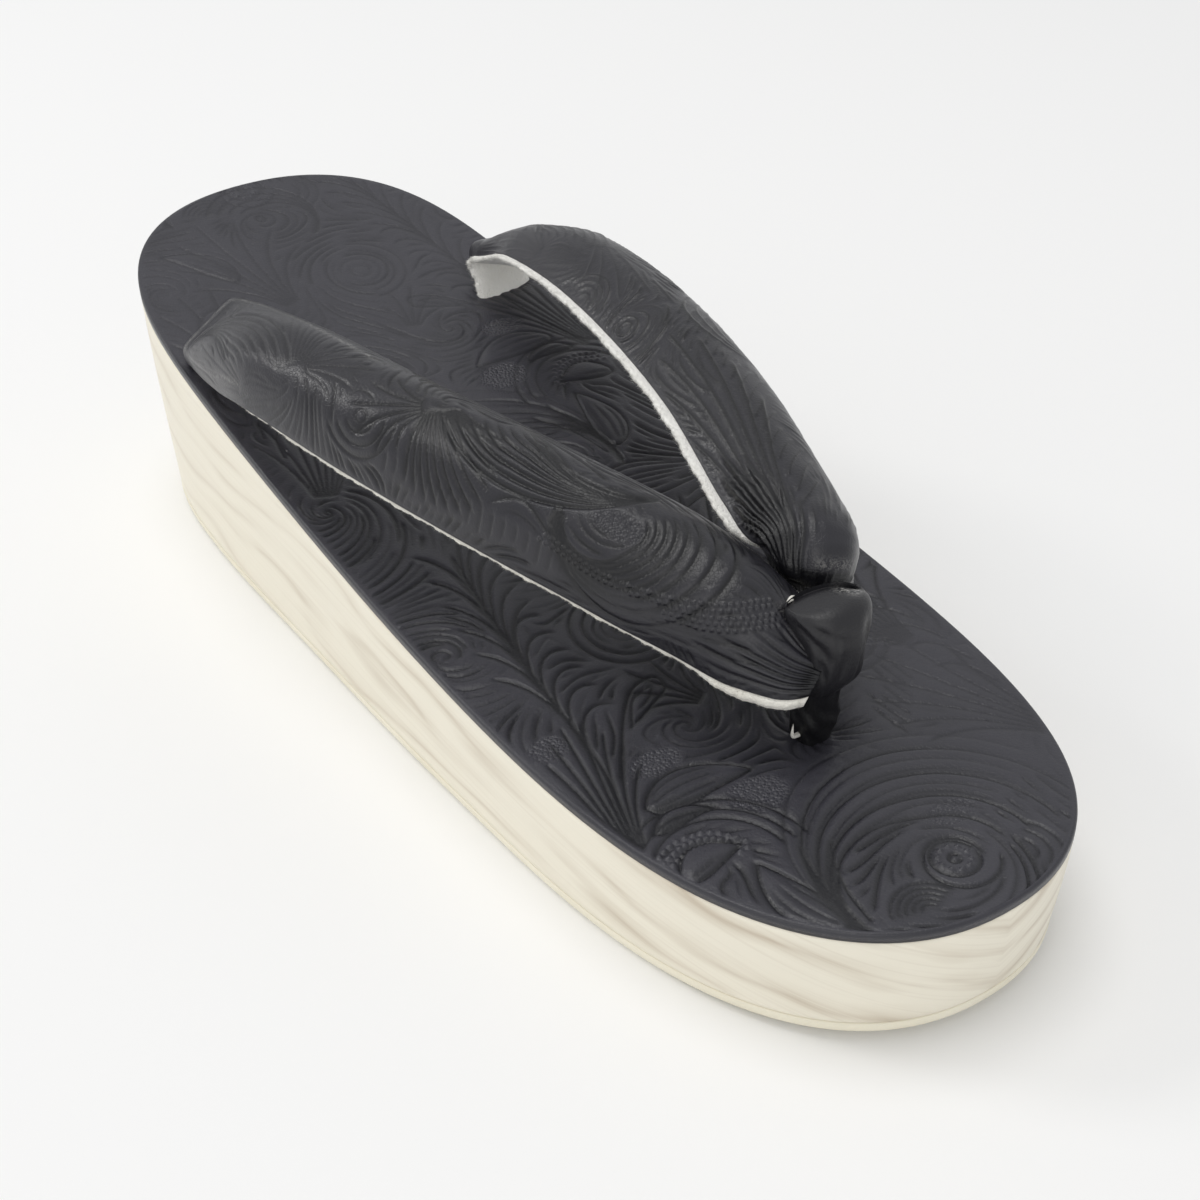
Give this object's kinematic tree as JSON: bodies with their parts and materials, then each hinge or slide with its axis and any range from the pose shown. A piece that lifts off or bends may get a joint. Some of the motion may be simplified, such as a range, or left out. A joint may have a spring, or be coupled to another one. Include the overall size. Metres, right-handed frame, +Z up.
{
  "type": "zori sandal",
  "caption": "Wedge zori sandal with a wood-grain wrapped base, embossed black leather top cover, padded thong straps lined with felt and a leather toe loop.",
  "frame": {"origin": "middle of the sole's length on its centre line, on the floor plane of the outsole", "axes": "+Z up, +Y from toe to heel, +X to the wearer's left"},
  "size_m": [0.0848, 0.24, 0.0651],
  "materials": {
    "outsole_rubber": "matt, pale cream",
    "wood_grain_wrap": "satin sheet with a printed pale wood grain",
    "embossed_leather": "black, embossed with scrolling leaves, satin",
    "strap_leather": "black, embossed, satin, over padding",
    "strap_felt": "off-white felt lining",
    "loop_leather": "black, smooth, gathered"
  },
  "bodies": {
    "root": {"outsole": "outsole_rubber", "sole_core": "wood_grain_wrap", "top_cover": "embossed_leather", "strap_upper": "strap_leather", "toe_loop": "loop_leather"}
  },
  "joints": []
}
